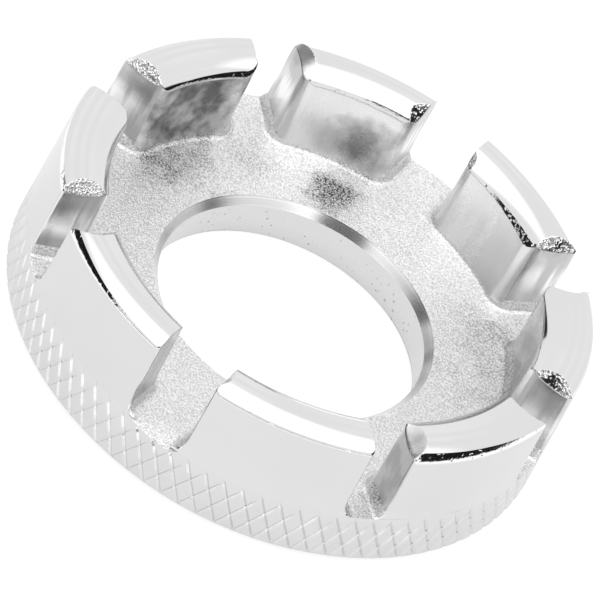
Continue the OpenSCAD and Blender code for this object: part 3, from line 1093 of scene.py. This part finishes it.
# middle and half size of the softbox's face, how high it hangs, and how wide its soft border is
SOFTBOX_X = (0.12, 0.95)
SOFTBOX_Y = (-0.32, 0.85)
SOFTBOX_Z = 1.0
SOFTBOX_FADE = 0.3
# how bright its face is in the metal, at the border and in the middle
SOFTBOX_GLOW = (1.0, 1.7)
# the lamp that lights the table: its length, width and brightness
LAMP_X, LAMP_Y = 1.6, 1.4
LAMP_GLOW = 1.5


def make_camera():
    """Camera with a long lens, as fitted to the edges in the photograph."""
    camera = new_object("camera", bpy.data.cameras.new("camera"))
    camera.data.sensor_width = SENSOR_W
    camera.data.lens = LENS
    turned = Matrix((CAMERA_RIGHT, CAMERA_UP, CAMERA_BACK)).transposed()
    camera.matrix_world = Matrix.Translation(CAMERA_PLACE) @ turned.to_4x4()
    bpy.context.scene.camera = camera


def square(half):
    """Flat square round the origin."""
    bm = bmesh.new()
    bmesh.ops.create_grid(bm, x_segments=1, y_segments=1, size=half)
    return bm


def make_table():
    """White table: mostly its own white where it is seen, with a soft shadow left in it, and a painted
    shade close to the wrench where the metal mirrors it.
    """
    table = Material("white_table")
    path = table.add("ShaderNodeLightPath")
    seen = path["Is Camera Ray"]
    mirrored = table.most(path["Is Glossy Ray"], path["Is Transmission Ray"])
    # painted shade: the metal shows the table darker close to the wrench
    in_metal = table.ramp(table.vector_maths("LENGTH", table.place), TABLE_R, TABLE_MIRRORED)
    white = table.glow(TABLE_SEEN * seen + mirrored * in_metal)
    matt = table.add("ShaderNodeBsdfDiffuse", Color=grey(TABLE_MATT))["BSDF"]
    faint = table.add("ShaderNodeBsdfDiffuse", Color=grey(TABLE_FAINT))["BSDF"]
    shown = table.add("ShaderNodeAddShader", faint, white)["Shader"]
    above = table.add("ShaderNodeMixShader", table.most(seen, mirrored), matt, shown)["Shader"]
    # seen from below, the table is clear, so that the back of the wrench shows
    clear = table.add("ShaderNodeBsdfTransparent")["BSDF"]
    from_below = table.add("ShaderNodeNewGeometry")["Backfacing"]
    surface = table.add("ShaderNodeMixShader", from_below, above, clear)["Shader"]
    bm = square(TABLE_HALF)
    bmesh.ops.translate(bm, vec=(0, 0, -TABLE_GAP), verts=bm.verts)
    stage_piece(bm, "white_table", table.finish(surface))


def only_mirrored(piece):
    """Only the metal shows this piece of the studio; it lights nothing else and casts no shadow."""
    piece.visible_camera = False
    piece.visible_diffuse = False
    piece.visible_shadow = False
    piece.visible_transmission = False


def make_boards():
    """Boards round the table: dark ones at the sides and by the camera, brighter ones low in front."""
    for number, (towards, low, high, half_width, bright) in enumerate(BOARDS, 1):
        name = "board_%d" % number
        board = Material(name)
        drop, rise, reach = (math.tan(math.radians(angle)) for angle in (low, high, half_width))
        bm = square(1)
        bmesh.ops.scale(bm, vec=(reach, (rise - drop) / 2, 1), verts=bm.verts)
        bmesh.ops.rotate(bm, matrix=Matrix.Rotation(math.pi / 2, 3, "X"), verts=bm.verts)
        bmesh.ops.translate(bm, vec=(0, 1, (rise + drop) / 2), verts=bm.verts)
        bmesh.ops.scale(bm, vec=(BOARD_R, BOARD_R, BOARD_R), verts=bm.verts)
        bmesh.ops.rotate(bm, matrix=Matrix.Rotation(math.radians(towards - 90), 3, "Z"), verts=bm.verts)
        only_mirrored(stage_piece(bm, name, board.finish(board.glow(bright))))


def make_softbox_face():
    """Face of the softbox overhead as the metal shows it: white, and fading at its borders."""
    face = Material("softbox_face")
    inside = 1.0
    for axis, (middle, half) in (("X", SOFTBOX_X), ("Y", SOFTBOX_Y)):
        off = face.maths("ABSOLUTE", face.axis(axis) - middle)
        inside = inside * face.ramp(off, (half - SOFTBOX_FADE, half), (1.0, 0.0))
    glow = face.glow(face.ramp(inside, (0, 1), SOFTBOX_GLOW))
    bm = square(1)
    bmesh.ops.scale(bm, vec=(SOFTBOX_X[1], SOFTBOX_Y[1], 1), verts=bm.verts)
    bmesh.ops.translate(bm, vec=(SOFTBOX_X[0], SOFTBOX_Y[0], SOFTBOX_Z), verts=bm.verts)
    only_mirrored(stage_piece(bm, "softbox_face", face.finish(glow)))


def make_lamp():
    """Light of the softbox, which the metal doesn't mirror: it shows the face instead."""
    lamp = new_object("softbox", bpy.data.lights.new("softbox", "AREA"))
    lamp.data.shape = "RECTANGLE"
    lamp.data.size = LAMP_X
    lamp.data.size_y = LAMP_Y
    lamp.data.energy = LAMP_GLOW * math.pi * LAMP_X * LAMP_Y
    lamp.location = (SOFTBOX_X[0], SOFTBOX_Y[0], SOFTBOX_Z)
    lamp.visible_glossy = False


def make_world():
    """White room round the studio."""
    world = bpy.data.worlds.new("white_studio")
    bpy.context.scene.world = world
    world.use_nodes = True
    background = world.node_tree.nodes["Background"].inputs
    background["Color"].default_value = grey(1)
    background["Strength"].default_value = 1.0


make_web()
make_rim()
for number in range(1, 9):
    make_lug(number)
make_camera()
make_table()
make_boards()
make_softbox_face()
make_lamp()
make_world()
bpy.context.scene.view_settings.view_transform = "Standard"
